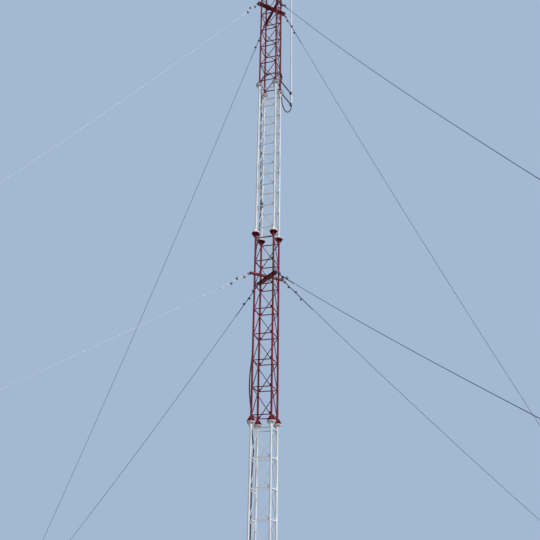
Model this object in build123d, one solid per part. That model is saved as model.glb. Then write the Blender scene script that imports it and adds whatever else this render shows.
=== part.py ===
from build123d import *
import math
import os

# Guyed lattice radio mast. Millimetres, +Z up, origin on the ground under the mast's axis.
# Front is -Y, back is +Y, left is -X, right is +X.

# Plinth and base plate
plinth_height = 335.0
plinth_width = 1100.0
plinth_chamfer = 25.0
base_plate_width = 900.0
base_plate_thickness = 25.0

# Mast sections
face_width = 600.0
section_length = 6000.0
section_count = 4
leg_diameter = 60.3
leg_sides = 8
touch_gap = 0.3

# Flange joints
flange_diameter = 260.0
flange_sides = 12
flange_thickness = 20.0
gusset_height = 138.0
gusset_thickness = 10.0
gusset_rim_margin = 5.0
gusset_toe = 12.0

# Bracing
panel_count = 7
stub_length = 182.0
horizontal_width = 25.0
diagonal_width = 20.0
diagonal_drop = 33.0
node_plate_width = 35.0
node_plate_height = 80.0
node_plate_thickness = 8.0

# Guy brackets: two crossed beams at each level, one a pair of channels, one a pair of flat bars.
# Each pair of channels lies above one of the bracing levels of sections 2 and 4.
lower_bracket_level = 5
lower_bracket_rise = 302.286
upper_bracket_level = 4
upper_bracket_rise = 507.429
upper_flats_drop = 275.0
upper_flats_tilt = 14.0
bracket_half_length = 600.0
beam_depth = 65.0
channel_flange = 42.0
channel_thickness = 5.5
flat_thickness = 12.0
bracket_pin_diameter = 22.0
bracket_pin_inset = 32.0
pin_sides = 8

# Guys: bearing and distance of each anchor from the mast's axis
anchor_bearing = {"front_left": -129.1, "front_right": -45.0, "back_right": 43.5, "back_left": 146.8}
anchor_distance = {"front_left": 16500.0, "front_right": 16850.0, "back_right": 16400.0, "back_left": 17400.0}
rope_diameter = 14.0
rope_sides = 6
rope_sag_ratio = 0.0104
rope_bends = 4
rope_tail_length = 1250.0
thimble_radius = 25.5
thimble_throat = 85.0
thimble_bends = 2
shackle_rod = 16.0
shackle_inner_width = 30.0
shackle_length = 110.0
turnbuckle_length = 560.0
turnbuckle_rod = 20.0
turnbuckle_body_start = 165.0
turnbuckle_body_length = 240.0
turnbuckle_window = 190.0
turnbuckle_jaw_length = 120.0
turnbuckle_jaw_width = 44.0
turnbuckle_jaw_end = 20.0
turnbuckle_eye_radius = 17.0
turnbuckle_eye_rim = 12.0
turnbuckle_eye_thickness = 10.0

# Anchors
block_width = 700.0
block_height = 250.0
block_chamfer = 20.0
anchor_plate_thickness = 16.0
anchor_pin_diameter = 18.0
anchor_hole_clearance = 1.0
anchor_holes = {"lower": (-70.0, 150.0), "upper": (70.0, 210.0)}

# Aerial
aerial_x = 490.0
aerial_y = 1140.0
aerial_foot_rise = 25.0
aerial_foot_length = 600.0
aerial_foot_diameter = 76.0
aerial_diameter = 56.0
aerial_length = 6400.0
aerial_sides = 24
arm_diameter = 42.4
arm_sides = 8
arm_spacing = 520.0
arm_plate = 8.0
arm_plate_width = 90.0
arm_plate_height = 120.0
foot_plate = 12.0

# Cable bracket on the back right leg
cable_bracket_rise = 690.0
cable_bracket_length = 220.0
cable_bracket_reach = 50.0
cable_bracket_tip = 30.0
cable_bracket_width = 50.0
cable_bracket_plate = 8.0

# Feeder cable. On the left face each point is the joint that it lies near, its rise above that
# joint, where it lies across the face and how far out. The others rise above the aerial's joint.
feeder_diameter = 39.0
feeder_sides = 8
feeder_x = -355.0
feeder_start = 420.0
feeder_wander = [
    (1, -1160, 30, 0), (1, -870, 135, 0), (1, -730, 150, 0), (1, -530, 106, 0), (1, -280, -27, 0),
    (1, 40, -100, 0), (1, 290, -122, 0), (1, 790, -122, 68), (1, 1140, -122, 86), (1, 1540, -122, 68),
    (1, 2060, -122, 0), (2, -710, -122, 0), (2, -320, -20, 0), (2, 0, 135, 0), (2, 390, 220, 0),
    (2, 840, 257, 0), (2, 1240, 300, -5), (2, 1490, 300, -5), (2, 2210, 285, 0), (3, -2390, 178, 0),
    (3, -1460, 127, 0), (3, 0, 130, 0), (3, 400, 103, 5), (3, 520, 70, 5),
]
feeder_behind = [
    (-360, 405, 980), (-131, 385, 1058), (20, 385, 1067), (249, 385, 940), (322, 460, 885), (322, 460, 790)
]
feeder_drop = (255.0, 455.0)
feeder_drop_top = 600.0
feeder_drop_foot = 70.0
feeder_loop = [(0.126, 80), (0.164, 286), (0.301, 450), (0.507, 512), (0.715, 447), (0.924, 257)]
feeder_entry = 115.0
feeder_bend = 110.0
feeder_bend_step = 30.0
feeder_clip_width = 60.0
feeder_clip_height = 30.0

leg_radius = leg_diameter / 2
half_face = face_width / 2
first_joint = plinth_height + base_plate_thickness
aerial_joint = first_joint + 3 * section_length
aerial_foot_height = aerial_joint + aerial_foot_rise
cable_bracket_height = aerial_joint + cable_bracket_rise
panel_pitch = (section_length - 2 * stub_length) / panel_count
clear_span = face_width - leg_diameter - 2 * touch_gap
lower_bracket_height = (
    first_joint + section_length + stub_length + lower_bracket_level * panel_pitch + lower_bracket_rise
)
upper_bracket_height = aerial_joint + stub_length + upper_bracket_level * panel_pitch + upper_bracket_rise
feeder_face = [
    (across, out, first_joint + joint * section_length + rise) for joint, rise, across, out in feeder_wander
]
rope_step = (rope_diameter + touch_gap) / 2
shackle_shift = shackle_inner_width / 2 - bracket_pin_diameter / 2 - touch_gap
shackle_pin_reach = shackle_length - shackle_rod / 2 - 4
thimble_inside = thimble_radius - rope_diameter / 2
thimble_centre = shackle_shift + shackle_pin_reach - shackle_rod / 2 - touch_gap + thimble_inside
turnbuckle_eye_reach = thimble_inside - touch_gap
pin_reach = bracket_half_length - bracket_pin_inset
aerial_foot_reach = aerial_foot_diameter / 2 / math.cos(math.pi / aerial_sides)

corner_places = {
    "front_left": (-half_face, -half_face),
    "front_right": (half_face, -half_face),
    "back_right": (half_face, half_face),
    "back_left": (-half_face, half_face),
}
face_turns = {"front": 0, "right": 90, "back": 180, "left": 270}

# Bearing, height, tilt and make of each guy beam, and the beam that each corner's guys hang from
guy_beams = {
    "lower_guy_beam_1": (45, lower_bracket_height + beam_depth, 0, "flats"),
    "lower_guy_beam_2": (-45, lower_bracket_height, 0, "channels"),
    "upper_guy_beam_1": (45, upper_bracket_height, 0, "channels"),
    "upper_guy_beam_2": (-45, upper_bracket_height - upper_flats_drop, upper_flats_tilt, "flats"),
}
corner_beams = {"front_left": "beam_1", "front_right": "beam_2", "back_right": "beam_1", "back_left": "beam_2"}


def save(name, *shapes):
    solids = [solid for shape in shapes for solid in shape.solids()]
    whole = solids[0] if len(solids) == 1 else Compound(solids)
    export_step(whole, f"parts/{name}.step")


def prism(start, end, across, sides):
    run = Vector(*end) - Vector(*start)
    side = Vector(0, 0, 1) if abs(run.normalized().Z) < 0.9 else Vector(1, 0, 0)
    plane = Plane(origin=start, x_dir=side.cross(run), z_dir=run)
    outline = RegularPolygon(across / 2, sides, major_radius=False, rotation=180 / sides)
    return extrude(plane * outline, run.length)


def column(x, y, z, across, sides, height):
    return prism((x, y, z), (x, y, z + height), across, sides)


def pin(start, end, diameter):
    return prism(start, end, diameter * math.cos(math.pi / pin_sides), pin_sides)


def square_bar(start, end, width):
    run = Vector(*end) - Vector(*start)
    return extrude(Plane(origin=start, x_dir=(0, 1, 0), z_dir=run) * Rectangle(width, width), run.length)


def box_up(x, y, z, width, depth, height):
    return Pos(x, y, z) * Box(width, depth, height, align=(Align.CENTER, Align.CENTER, Align.MIN))


def plate_of(points, plane, thickness):
    return extrude(make_face(plane * Polyline(*points, close=True)), thickness / 2, both=True)


def gusset():
    reach = flange_diameter / 2 - gusset_rim_margin
    points = [(leg_radius, 0), (reach, 0), (reach, gusset_toe), (leg_radius, gusset_height)]
    return plate_of(points, Plane.XZ, gusset_thickness)


def leg():
    tube = column(0, 0, 0, leg_diameter, leg_sides, section_length)
    low_flange = column(0, 0, 0, flange_diameter, flange_sides, flange_thickness)
    top_flange = Pos(0, 0, section_length - flange_thickness) * low_flange
    pieces = [low_flange, top_flange]
    for turn in range(4):
        low = Rot(0, 0, 90 * turn) * (Pos(0, 0, flange_thickness) * gusset())
        pieces.append(low)
        pieces.append(mirror(low, about=Plane.XY.offset(section_length / 2)))
    return tube.fuse(*pieces)


def face_bracing():
    left = -clear_span / 2
    right = clear_span / 2
    edge = right - node_plate_width
    pieces = []
    for level in range(panel_count + 1):
        height = stub_length + level * panel_pitch
        pieces.append(square_bar((left, 0, height), (right, 0, height), horizontal_width))
    slab_width = edge - left
    slab = Pos(left + slab_width / 2, 0, section_length / 2) * Box(slab_width, 60, section_length)
    for level in range(panel_count):
        foot = stub_length + level * panel_pitch
        start = Vector(left, 0, foot + panel_pitch - diagonal_drop)
        end = Vector(edge, 0, foot + node_plate_height / 2)
        run = (end - start).normalized()
        diagonal = square_bar(tuple(start - run * 30), tuple(end + run * 30), diagonal_width)
        pieces.append(diagonal.intersect(slab).solids()[0])
        plate_x = right - node_plate_width / 2
        pieces.append(box_up(plate_x, 0, foot, node_plate_width, node_plate_thickness, node_plate_height))
    return pieces[0].fuse(*pieces[1:])


def channel(length):
    half = beam_depth / 2
    inside = half - channel_thickness
    points = [
        (0, -half), (channel_flange, -half), (channel_flange, -inside), (channel_thickness, -inside),
        (channel_thickness, inside), (channel_flange, inside), (channel_flange, half), (0, half),
    ]
    return plate_of(points, Plane.YZ, length)


def flat_bar(length):
    return Pos(0, flat_thickness / 2, 0) * Box(length, flat_thickness, beam_depth)


def guy_beam(bearing, height, tilt, make):
    gap = leg_radius + touch_gap
    slant = math.cos(math.radians(tilt))
    length = 2 * bracket_half_length / slant
    one = Pos(0, gap, 0) * (channel(length) if make == "channels" else flat_bar(length))
    pieces = [mirror(one, about=Plane.XZ)]
    for side in (-1, 1):
        x = side * pin_reach / slant
        pieces.append(pin((x, -gap, 0), (x, gap, 0), bracket_pin_diameter))
    return Pos(0, 0, height) * Rot(0, 0, bearing) * Rot(0, -tilt, 0) * one.fuse(*pieces)


def bracket_end(corner):
    x, y = corner_places[corner]
    turn = math.atan2(y, x)
    return Vector(pin_reach * math.cos(turn), pin_reach * math.sin(turn), 0)


def anchor_stand(corner):
    bearing = math.radians(anchor_bearing[corner])
    distance = anchor_distance[corner]
    centre = Vector(distance * math.cos(bearing), distance * math.sin(bearing), 0)
    return centre, (centre - bracket_end(corner)).normalized()


def anchor_place(corner, height):
    centre, outward = anchor_stand(corner)
    return Plane(origin=centre + Vector(0, 0, height), x_dir=outward, z_dir=(0, 0, 1)).location


def guy_ends(level, corner):
    bearing, height, tilt, make = guy_beams[f"{level}_guy_{corner_beams[corner]}"]
    rise = math.copysign(pin_reach * math.tan(math.radians(tilt)), corner_places[corner][0])
    top = bracket_end(corner) + Vector(0, 0, height + rise)
    centre, outward = anchor_stand(corner)
    along, up = anchor_holes[level]
    return top, centre + outward * along + Vector(0, 0, block_height + up)


def guy_line(top, foot):
    chord = (foot - top).normalized()
    side = Vector(0, 0, 1).cross(chord).normalized()
    rise = chord.cross(side)
    slope = 2 * math.atan(2 * rope_sag_ratio)
    run_top = chord * math.cos(slope) - rise * math.sin(slope)
    run_foot = chord * math.cos(slope) + rise * math.sin(slope)
    return run_top, run_foot, side, slope


def place(origin, run, side):
    return Plane(origin=origin, x_dir=run, z_dir=run.cross(side))


def shackle():
    half = shackle_inner_width / 2
    outer = half + shackle_rod
    bevel = outer * 0.41
    notch = half * 0.41
    points = [
        (shackle_length, -outer), (0, -outer), (-outer + bevel, -outer), (-outer, -bevel), (-outer, bevel),
        (-outer + bevel, outer), (0, outer), (shackle_length, outer), (shackle_length, half), (0, half),
        (-half, half - notch), (-half, notch - half), (0, -half), (shackle_length, -half),
    ]
    bow = plate_of(points, Plane.XZ, shackle_rod)
    bolt = pin((shackle_pin_reach, 0, -half - 1), (shackle_pin_reach, 0, half + 1), shackle_rod)
    return Pos(shackle_shift, 0, 0) * bow.fuse(bolt)


def eye_points():
    angle = math.acos(thimble_radius / thimble_throat)
    wrap = [angle + (math.pi - angle) * step / thimble_bends for step in range(thimble_bends + 1)]
    corner_radius = thimble_radius / math.cos((math.pi - angle) / thimble_bends / 2)
    points = [(rope_tail_length, rope_step), (thimble_throat, rope_step)]
    middles = [(wrap[step] + wrap[step + 1]) / 2 for step in range(thimble_bends)]
    for turn in middles + [-value for value in reversed(middles)]:
        points.append((corner_radius * math.cos(turn), corner_radius * math.sin(turn)))
    points.append((thimble_throat, -rope_step))
    return points


def guy_path(level, corner):
    top, foot = guy_ends(level, corner)
    run_top, run_foot, side, slope = guy_line(top, foot)
    head = place(top + run_top * thimble_centre, run_top, side)
    tail = place(foot - run_foot * turnbuckle_length, run_foot * -1, side)
    shift = side * -rope_step
    bend_from = turnbuckle_length + thimble_throat
    apex_reach = (foot - top).length / 2 / math.cos(slope)
    radius = (apex_reach - bend_from) / math.tan(slope)
    up = run_top.cross(side)
    bend_top = top + run_top * bend_from + shift
    points = [head.from_local_coords((x, y, 0)) for x, y in eye_points()]
    for step in range(rope_bends + 1):
        turn = 2 * slope * step / rope_bends
        points.append(
            bend_top + run_top * (radius * math.sin(turn)) + up * (radius * (1 - math.cos(turn)))
        )
    points += [tail.from_local_coords((x, y, 0)) for x, y in reversed(eye_points())]
    return [tuple(point) for point in points]


def tube_along(points, across, sides):
    start = Vector(*points[0])
    run = Vector(*points[1]) - start
    guide = Vector(0, 0, 1) if abs(run.normalized().Z) < 0.9 else Vector(1, 0, 0)
    begin = Plane(origin=start, x_dir=guide.cross(run), z_dir=run)
    outline = RegularPolygon(across / 2, sides, major_radius=False, rotation=180 / sides)
    return sweep(begin * outline, path=Polyline(*points), transition=Transition.RIGHT)


def guy(level, corner):
    return tube_along(guy_path(level, corner), rope_diameter, rope_sides)


def turnbuckle(level, corner):
    top, foot = guy_ends(level, corner)
    run_top, run_foot, side, slope = guy_line(top, foot)
    outer = turnbuckle_eye_radius + turnbuckle_eye_rim
    centre = turnbuckle_eye_reach + turnbuckle_eye_radius
    half = turnbuckle_eye_thickness / 2
    ring = prism((centre, -half, 0), (centre, half, 0), 2 * outer, 6)
    ring -= prism((centre, -half - 1, 0), (centre, half + 1, 0), 2 * turnbuckle_eye_radius, 6)
    body_end = turnbuckle_body_start + turnbuckle_body_length
    body_middle = turnbuckle_body_start + turnbuckle_body_length / 2
    jaw_middle = turnbuckle_length + turnbuckle_jaw_end - turnbuckle_jaw_length / 2
    jaw_start = jaw_middle - turnbuckle_jaw_length / 2
    screw = prism((centre + outer - 3, 0, 0), (turnbuckle_body_start + 5, 0, 0), turnbuckle_rod, 4)
    body = Pos(body_middle, 0, 0) * (Box(turnbuckle_body_length, 62, 26) - Box(turnbuckle_window, 36, 60))
    screw_low = prism((body_end - 5, 0, 0), (jaw_start + 5, 0, 0), turnbuckle_rod, 4)
    slot = anchor_plate_thickness + 2 * touch_gap
    jaw = Box(turnbuckle_jaw_length, turnbuckle_jaw_width, 40)
    jaw = Pos(jaw_middle, 0, 0) * (jaw - Pos(12, 0, 0) * Box(turnbuckle_jaw_length, slot, 60))
    cheek = turnbuckle_jaw_width / 2
    across = anchor_pin_diameter * math.cos(math.pi / 6)
    clevis = prism((turnbuckle_length, -cheek, 0), (turnbuckle_length, cheek, 0), across, 6)
    whole = ring.fuse(screw, body, screw_low, jaw, clevis)
    return place(foot - run_foot * turnbuckle_length, run_foot, side).location * whole


def anchor_plate(corner):
    points = [(-150, 0), (-112, 150), (-90, 185), (-50, 195), (50, 252), (90, 252), (112, 215), (150, 0)]
    plate = plate_of(points, Plane.XZ, anchor_plate_thickness)
    across = anchor_pin_diameter + 2 * anchor_hole_clearance
    for x, z in anchor_holes.values():
        plate -= prism((x, -30, z), (x, 30, z), across, 6)
    return anchor_place(corner, block_height) * plate


def anchor_block(corner):
    block = box_up(0, 0, 0, block_width, block_width, block_height)
    block = chamfer(block.edges().group_by(Axis.Z)[-1], block_chamfer)
    return anchor_place(corner, 0) * block


def base_plinth():
    block = box_up(0, 0, 0, plinth_width, plinth_width, plinth_height)
    return chamfer(block.edges().group_by(Axis.Z)[-1], plinth_chamfer)


def aerial_line():
    x, y = corner_places["back_right"]
    run = Vector(aerial_x - x, aerial_y - y, 0)
    low = aerial_joint + flange_thickness + foot_plate + arm_diameter / 2 - 2
    return Vector(x, y, 0), run.normalized(), run.length, low


def aerial_end_plate(origin, run, length, height):
    reach = length - aerial_foot_reach - touch_gap - arm_plate / 2
    middle = origin + run * reach + Vector(0, 0, height)
    plane = Plane(origin=middle, x_dir=run, z_dir=(0, 0, 1))
    return plane.location * Box(arm_plate, arm_plate_width, arm_plate_height)


def lower_aerial_arm():
    origin, run, length, low = aerial_line()
    end = length - aerial_foot_reach - touch_gap - 1
    start_point = origin + run * (flange_diameter / 2) + Vector(0, 0, low)
    end_point = origin + run * end + Vector(0, 0, low)
    arm = prism(tuple(start_point), tuple(end_point), arm_diameter, arm_sides)
    points = [(14, 60), (62, 40), (80, 150), (76, 188), (22, 188), (14, 125)]
    middle = low - arm_diameter / 2 + 2 - foot_plate / 2
    foot = Pos(origin.X, origin.Y, middle) * plate_of(points, Plane.XY, foot_plate)
    return arm.fuse(foot, aerial_end_plate(origin, run, length, low))


def upper_aerial_arm():
    origin, run, length, low = aerial_line()
    height = low + arm_spacing
    start = leg_radius / math.cos(math.pi / leg_sides) + touch_gap
    end = length - aerial_foot_reach - touch_gap - 1
    start_point = origin + run * (start + 1) + Vector(0, 0, height)
    end_point = origin + run * end + Vector(0, 0, height)
    arm = prism(tuple(start_point), tuple(end_point), arm_diameter, arm_sides)
    saddle = Plane(origin=origin + run * (start + arm_plate / 2) + Vector(0, 0, height), x_dir=run, z_dir=(0, 0, 1))
    saddle = saddle.location * Box(arm_plate, arm_plate_width, arm_plate_height)
    return arm.fuse(saddle, aerial_end_plate(origin, run, length, height))


def cable_bracket():
    x, y = corner_places["back_right"]
    seat = x + leg_radius + touch_gap
    back = box_up(
        seat + cable_bracket_plate / 2, y, cable_bracket_height, cable_bracket_plate, cable_bracket_width,
        cable_bracket_length
    )
    points = [
        (seat + 1, 0), (seat + cable_bracket_reach, 0), (seat + cable_bracket_reach, cable_bracket_tip),
        (seat + cable_bracket_plate + 1, cable_bracket_length), (seat + 1, cable_bracket_length),
    ]
    rib = Pos(0, y, cable_bracket_height) * plate_of(points, Plane.XZ, cable_bracket_plate)
    return back.fuse(rib)


def aerial():
    bottom = aerial_foot_height + aerial_foot_length
    tube = column(aerial_x, aerial_y, bottom, aerial_diameter, aerial_sides, aerial_length)
    return chamfer(tube.edges().group_by(Axis.Z)[-1], aerial_diameter / 5)


def rounded(points, radii):
    route = [Vector(*points[0])]
    for before, corner, after, radius in zip(points, points[1:], points[2:], radii):
        first = (Vector(*corner) - Vector(*before)).normalized()
        second = (Vector(*after) - Vector(*corner)).normalized()
        turn = math.radians(first.get_angle(second))
        reach = radius * math.tan(turn / 2)
        start = Vector(*corner) - first * reach
        inward = (second - first * first.dot(second)).normalized()
        count = max(1, round(math.degrees(turn) / feeder_bend_step))
        centre = start + inward * radius
        for step in range(count):
            angle = turn * (step + 0.5) / count
            stretch = radius / math.cos(turn / count / 2)
            route.append(centre - inward * (stretch * math.cos(angle)) + first * (stretch * math.sin(angle)))
    route.append(Vector(*points[-1]))
    return [tuple(point) for point in route]


def feeder_route():
    corners = [(feeder_x, feeder_face[0][0], feeder_start)]
    corners += [(feeder_x - out, across, height) for across, out, height in feeder_face]
    corners += [(x, y, aerial_joint + rise) for x, y, rise in feeder_behind]
    corners += [(*feeder_drop, aerial_joint + rise) for rise in (feeder_drop_top, feeder_drop_foot)]
    for share, depth in feeder_loop:
        x = feeder_drop[0] + share * (aerial_x - feeder_drop[0])
        y = feeder_drop[1] + share * (aerial_y - feeder_drop[1])
        corners.append((x, y, aerial_foot_height - depth))
    corners.append((aerial_x, aerial_y, aerial_foot_height - feeder_entry))
    corners.append((aerial_x, aerial_y, aerial_foot_height - touch_gap))
    return rounded(corners, [feeder_bend] * (len(corners) - 2))


def feeder_across(height):
    route = [(feeder_face[0][0], 0, feeder_start)] + feeder_face
    for (low_y, low_out, low_z), (high_y, high_out, high_z) in zip(route, route[1:]):
        if low_z <= height <= high_z:
            share = (height - low_z) / (high_z - low_z)
            return low_y + share * (high_y - low_y), low_out + share * (high_out - low_out)


def feeder_clip(across, height):
    inner = -half_face - horizontal_width / 2 - touch_gap
    outer = feeder_x + feeder_diameter / 2 + touch_gap
    thickness = inner - outer
    return Pos(inner - thickness / 2, across, height) * Box(thickness, feeder_clip_width, feeder_clip_height)


def feeder_clips():
    clips = []
    for number in range(section_count - 1):
        for level in range(0, panel_count + 1, 2):
            height = first_joint + number * section_length + stub_length + level * panel_pitch
            across, out = feeder_across(height)
            if out == 0 and across < clear_span / 2 - feeder_clip_width / 2:
                clips.append(feeder_clip(across, height))
    return clips


def build():
    os.makedirs("parts", exist_ok=True)
    save("base_plinth", base_plinth())
    save("base_plate", box_up(0, 0, plinth_height, base_plate_width, base_plate_width, base_plate_thickness))
    one_leg = leg()
    one_face = Pos(0, -half_face, 0) * face_bracing()
    for number in range(section_count):
        foot = Pos(0, 0, first_joint + number * section_length)
        save(f"section_{number + 1}_legs", *[foot * Pos(x, y, 0) * one_leg for x, y in corner_places.values()])
        for side, turn in face_turns.items():
            save(f"section_{number + 1}_bracing_{side}", foot * Rot(0, 0, turn) * one_face)
    for name, (bearing, height, tilt, make) in guy_beams.items():
        save(name, guy_beam(bearing, height, tilt, make))
    screws = []
    for level in anchor_holes:
        shackles = []
        for corner in corner_places:
            top, foot = guy_ends(level, corner)
            run_top, run_foot, side, slope = guy_line(top, foot)
            shackles.append(place(top, run_top, side).location * shackle())
            screws.append(turnbuckle(level, corner))
            save(f"{level}_guy_{corner}", guy(level, corner))
        save(f"{level}_guy_shackles", *shackles)
    save("turnbuckles", *screws)
    save("anchor_plates", *[anchor_plate(corner) for corner in corner_places])
    save("anchor_blocks", *[anchor_block(corner) for corner in corner_places])
    foot_tube = column(
        aerial_x, aerial_y, aerial_foot_height, aerial_foot_diameter, aerial_sides, aerial_foot_length
    )
    save("aerial_foot", foot_tube)
    save("aerial", aerial())
    save("aerial_arms", lower_aerial_arm(), upper_aerial_arm())
    save("feeder_cable", tube_along(feeder_route(), feeder_diameter, feeder_sides))
    save("feeder_clips", *feeder_clips(), cable_bracket())


build()
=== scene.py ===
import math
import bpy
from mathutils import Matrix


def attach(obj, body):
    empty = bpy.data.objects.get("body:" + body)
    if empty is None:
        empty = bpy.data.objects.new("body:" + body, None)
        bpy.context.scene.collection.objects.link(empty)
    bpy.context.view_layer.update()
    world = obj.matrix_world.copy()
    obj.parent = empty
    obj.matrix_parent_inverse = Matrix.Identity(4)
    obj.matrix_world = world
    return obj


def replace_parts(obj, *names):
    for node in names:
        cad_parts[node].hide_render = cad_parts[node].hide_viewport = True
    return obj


bl_info = {
    "name": "Guyed radio mast",
    "version": (1, 0, 0),
    "blender": (4, 5, 0),
    "location": "3D View > Sidebar > Mast",
    "description": "Dresses the packed mast: legs, ropes and fittings, feeder, aerial and finishes",
    "category": "Object",
}

import bpy
from bpy.props import FloatProperty, FloatVectorProperty, IntProperty, PointerProperty
from mathutils import Matrix, Vector

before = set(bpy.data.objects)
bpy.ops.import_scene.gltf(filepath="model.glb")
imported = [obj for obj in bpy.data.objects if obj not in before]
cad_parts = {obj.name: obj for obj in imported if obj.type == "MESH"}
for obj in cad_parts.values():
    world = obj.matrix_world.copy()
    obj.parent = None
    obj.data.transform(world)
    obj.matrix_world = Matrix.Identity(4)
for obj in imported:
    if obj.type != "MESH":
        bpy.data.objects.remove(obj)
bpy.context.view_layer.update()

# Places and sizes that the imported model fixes, in metres
FIRST_JOINT = 0.36
SECTION = 6.0
SECTION_COUNT = 4
HALF_FACE = 0.3
LEG_RADIUS = 0.03015
FLANGE_RADIUS = 0.13
FLANGE_THICKNESS = 0.02
GUSSET_HEIGHT = 0.138
GUSSET_TOE = 0.012
GUSSET_THICKNESS = 0.01
STUB = 0.182
PANELS = 7
PITCH = (SECTION - 2 * STUB) / PANELS
BAR = 0.025
DIAGONAL_DROP = 0.033
PLATE_HEIGHT = 0.08
TOUCH = 0.0003
BEAM_REACH = 0.568
BEAM_GAP = LEG_RADIUS + TOUCH
CHANNEL_WEB = 0.0055
FLAT_BAR = 0.012
GUY_BEAMS = {
    "lower_guy_beam_1": (45, 10.935, 0.0, FLAT_BAR),
    "lower_guy_beam_2": (-45, 10.87, 0.0, CHANNEL_WEB),
    "upper_guy_beam_1": (45, 22.27, 0.0, CHANNEL_WEB),
    "upper_guy_beam_2": (-45, 21.995, 14.0, FLAT_BAR),
}
CORNER_BEAMS = {"front_left": 1, "front_right": 2, "back_right": 1, "back_left": 2}
ANCHOR_HOLES = {"lower": (-0.07, 0.15), "upper": (0.07, 0.21)}
ANCHOR_BEARING = {
    "front_left": -129.1, "front_right": -45.0, "back_right": 43.5, "back_left": 146.8
}
ANCHOR_DISTANCE = {"front_left": 16.5, "front_right": 16.85, "back_right": 16.4, "back_left": 17.4}
BLOCK_HEIGHT = 0.25
SAG_RATIO = 0.0104
TURNBUCKLE_LENGTH = 0.56
THIMBLE_RADIUS = 0.0255
THROAT = 0.085
SHACKLE_ROD = 0.016
SHACKLE_INNER = 0.03
SHACKLE_LENGTH = 0.11
BRACKET_PIN = 0.022
ROPE = 0.014
TAIL = 1.25
AERIAL = (0.49, 1.14)
AERIAL_FOOT = 18.385
AERIAL_FOOT_LENGTH = 0.6
AERIAL_FOOT_RADIUS = 0.038
AERIAL_RADIUS = 0.028
AERIAL_LENGTH = 6.4
ARM_LOW = 18.4112
ARM_SPACING = 0.52
FEEDER_RADIUS = 0.0195
CORNERS = {
    "front_left": (-HALF_FACE, -HALF_FACE),
    "front_right": (HALF_FACE, -HALF_FACE),
    "back_right": (HALF_FACE, HALF_FACE),
    "back_left": (-HALF_FACE, HALF_FACE),
}
FACE_TURNS = {"front": 0, "right": 90, "back": 180, "left": 270}

# The feeder's route, from the mast's foot to the foot of the aerial
FEEDER_ROUTE = [
    (-0.355, 0.03, 0.42), (-0.355, 0.03, 5.2), (-0.355, 0.135, 5.49), (-0.355, 0.15, 5.63),
    (-0.355, 0.106, 5.83), (-0.355, -0.027, 6.08), (-0.355, -0.1, 6.4), (-0.355, -0.122, 6.65),
    (-0.423, -0.122, 7.15), (-0.441, -0.122, 7.5), (-0.423, -0.122, 7.9), (-0.355, -0.122, 8.42),
    (-0.355, -0.122, 11.65), (-0.355, -0.02, 12.04), (-0.355, 0.135, 12.36),
    (-0.355, 0.22, 12.75), (-0.355, 0.257, 13.2), (-0.35, 0.3, 13.6), (-0.35, 0.3, 13.85),
    (-0.355, 0.285, 14.57), (-0.355, 0.178, 15.97), (-0.355, 0.127, 16.9), (-0.355, 0.13, 18.36),
    (-0.36, 0.103, 18.76), (-0.36, 0.07, 18.88), (-0.36, 0.405, 19.34), (-0.131, 0.385, 19.418),
    (0.02, 0.385, 19.427), (0.249, 0.385, 19.3), (0.322, 0.46, 19.245), (0.322, 0.46, 19.15),
    (0.255, 0.455, 18.96), (0.255, 0.455, 18.43), (0.2846, 0.5413, 18.305),
    (0.2935, 0.5673, 18.099), (0.3257, 0.6612, 17.935), (0.3741, 0.8023, 17.873),
    (0.423, 0.9448, 17.938), (0.4721, 1.0879, 18.128), (0.49, 1.14, 18.27), (0.49, 1.14, 18.3847),
]

# Where clips hold the feeder, tape ties it to the back left leg and bolts hold the cable bracket
CLIP_HEIGHTS = [
    FIRST_JOINT + SECTION * number + STUB + PITCH * level
    for number, levels in enumerate(((0, 2, 4, 6), (0, 4, 6), (0, 4, 6)))
    for level in levels
]
WRAP_FOOT = 13.62
WRAP_TURNS = 11
WRAP_WIDTH = 0.02
CABLE_BRACKET_BOLTS = (19.1, 19.22)


def linear(text):
    """A colour written as sRGB hex, in the linear values that Blender's sockets take."""
    values = [int(text[i : i + 2], 16) / 255 for i in (0, 2, 4)]
    return tuple(v / 12.92 if v <= 0.04045 else ((v + 0.055) / 1.055) ** 2.4 for v in values)


def rgba(colour):
    return (colour[0], colour[1], colour[2], 1.0)


def shade(colour, factor):
    return tuple(min(1.0, value * factor) for value in colour)


# Shapes


class Shape:
    """The points and faces of one piece while it is put together."""

    def __init__(self):
        self.points = []
        self.faces = []
        self.wraps = []

    def add(self, points, faces, place=None, wraps=None):
        start = len(self.points)
        self.points += [place @ p for p in points] if place else points
        self.faces += [tuple(start + i for i in face) for face in faces]
        self.wraps += wraps if wraps else [[(0.0, 0.0)] * len(face) for face in faces]


def axes(origin, x, z):
    """A frame at a point, with its x and z along the two given directions."""
    x = Vector(x).normalized()
    z = Vector(z)
    z = (z - x * z.dot(x)).normalized()
    y = z.cross(x)
    place = Matrix((x, y, z)).transposed().to_4x4()
    place.translation = Vector(origin)
    return place


def standing(origin, axis):
    """A frame at a point, with its z along the given direction."""
    axis = Vector(axis).normalized()
    helper = Vector((1, 0, 0)) if abs(axis.x) < 0.9 else Vector((0, 1, 0))
    x = helper - axis * helper.dot(axis)
    return axes(origin, x, axis)


def circle_point(radius, turn, height=0.0):
    return Vector((radius * math.cos(turn), radius * math.sin(turn), height))


def at(x, y, z):
    return Matrix.Translation((x, y, z))


def lifted(height):
    return Matrix.Translation((0, 0, height))


def spun(degrees, axis="Z"):
    return Matrix.Rotation(math.radians(degrees), 4, axis)


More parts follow.
